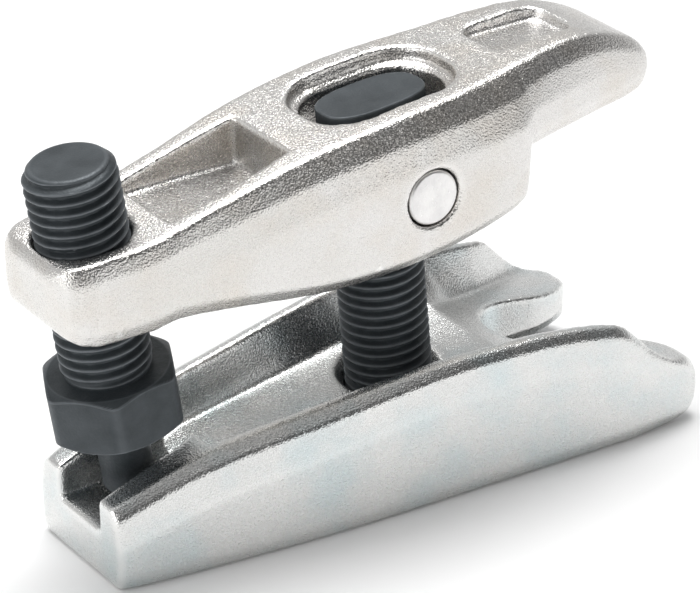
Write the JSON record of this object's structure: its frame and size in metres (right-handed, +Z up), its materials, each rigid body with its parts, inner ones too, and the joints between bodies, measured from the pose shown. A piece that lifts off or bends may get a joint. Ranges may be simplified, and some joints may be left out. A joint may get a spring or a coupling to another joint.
{
  "type": "ball joint separator",
  "caption": "Forged fork-and-arm ball joint separator: a hexagon-headed pressure bolt swings the arm about a pin so its nose presses towards the fork.",
  "frame": {"origin": "on the jaw's flat underside, midway along the tool's length and on its centre line", "axes": "+X towards the fork, +Y to the jaw's left flank, +Z up from the jaw's underside"},
  "size_m": [0.1263, 0.0476, 0.077],
  "materials": {
    "plated_jaw": "shot-blasted and bright plated, cool silver",
    "plated_arm": "shot-blasted and bright plated, warm silver",
    "black_steel": "black oxide, satin",
    "bright_steel": "smooth ground steel"
  },
  "bodies": {
    "jaw": {"lower_jaw": "plated_jaw"},
    "screw": {"centre_screw": "black_steel"},
    "arm": {"upper_arm": "plated_arm", "cross_pin": "bright_steel"},
    "thrust": {"thrust_ball": "bright_steel"},
    "bolt": {"pressure_bolt": "black_steel"}
  },
  "joints": [
    {"name": "height_adjust", "type": "slide", "parent": "jaw", "child": "screw", "axis": [-0.0837, 0, 0.9965], "range_m": [0, 0.008]},
    {"name": "arm_pivot", "type": "hinge", "parent": "screw", "child": "arm", "pos_m": [0.00601, 0, 0.05939], "axis": [0, 1, 0], "range_deg": [-6, 10]},
    {"name": "bolt_travel", "type": "slide", "parent": "arm", "child": "thrust", "axis": [0.1392, 0, -0.9903], "range_m": [-0.0056, 0.0092]},
    {"name": "bolt_turn", "type": "hinge", "parent": "thrust", "child": "bolt", "pos_m": [-0.0482, 0, 0.0359], "axis": [0.1392, 0, -0.9903], "range_deg": [-990, 1640]}
  ],
  "couplings": [
    {"joint": "bolt_travel", "follows": "arm_pivot", "m_per_rad": 0.052},
    {"joint": "bolt_turn", "follows": "arm_pivot", "ratio": 163.36}
  ]
}
